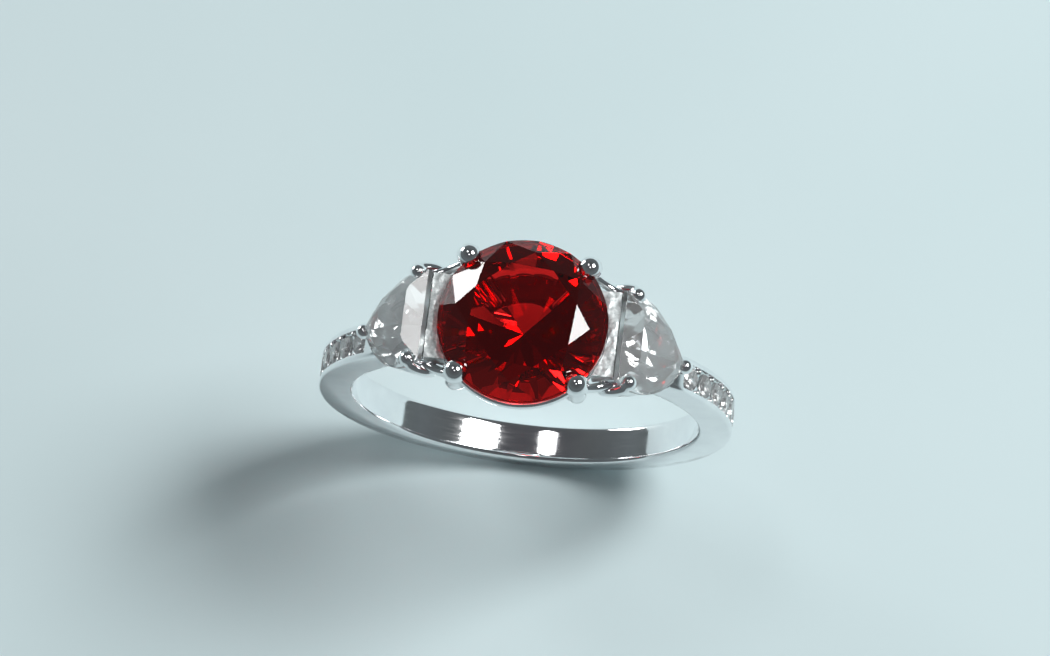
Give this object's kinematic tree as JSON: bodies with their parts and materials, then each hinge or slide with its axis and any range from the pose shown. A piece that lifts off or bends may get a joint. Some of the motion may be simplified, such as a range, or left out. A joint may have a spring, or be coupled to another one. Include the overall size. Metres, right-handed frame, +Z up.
{
  "type": "cocktail ring",
  "caption": "Three-stone ring: round red brilliant in a ball-prong head between leaning half-moon clear stones, with bead-set clear stones down the shoulders of a narrow silver band.",
  "frame": {"origin": "centre of the finger hole, halfway across the band's width", "axes": "+Y along the finger, +Z up through the centre stone, +X from the left shoulder to the right shoulder"},
  "size_m": [0.0206, 0.0082, 0.0239],
  "materials": {
    "silver": "high-polish rhodium-plated silver",
    "cast_silver": "silver left rough from the casting",
    "red_stone": "polished facets, deep ruby red",
    "clear_stone": "polished facets, colourless"
  },
  "bodies": {
    "root": {"shank": "silver", "head_base_ring": "silver", "head_gallery_rail": "silver", "centre_prong_front_left": "silver", "centre_prong_front_right": "silver", "centre_prong_back_left": "silver", "centre_prong_back_right": "silver", "centre_stone": "red_stone", "left_seat": "silver", "left_web": "cast_silver", "left_prong_front": "silver", "left_prong_back": "silver", "left_prong_tip": "silver", "left_arm_front": "silver", "left_arm_back": "silver", "left_half_moon_stone": "clear_stone", "right_seat": "silver", "right_web": "cast_silver", "right_prong_front": "silver", "right_prong_back": "silver", "right_prong_tip": "silver", "right_arm_front": "silver", "right_arm_back": "silver", "right_half_moon_stone": "clear_stone", "left_shoulder_stone_1": "clear_stone", "left_shoulder_stone_2": "clear_stone", "left_shoulder_stone_3": "clear_stone", "left_shoulder_stone_4": "clear_stone", "left_shoulder_stone_5": "clear_stone", "left_shoulder_stone_6": "clear_stone", "right_shoulder_stone_1": "clear_stone", "right_shoulder_stone_2": "clear_stone", "right_shoulder_stone_3": "clear_stone", "right_shoulder_stone_4": "clear_stone", "right_shoulder_stone_5": "clear_stone", "right_shoulder_stone_6": "clear_stone"}
  },
  "joints": []
}
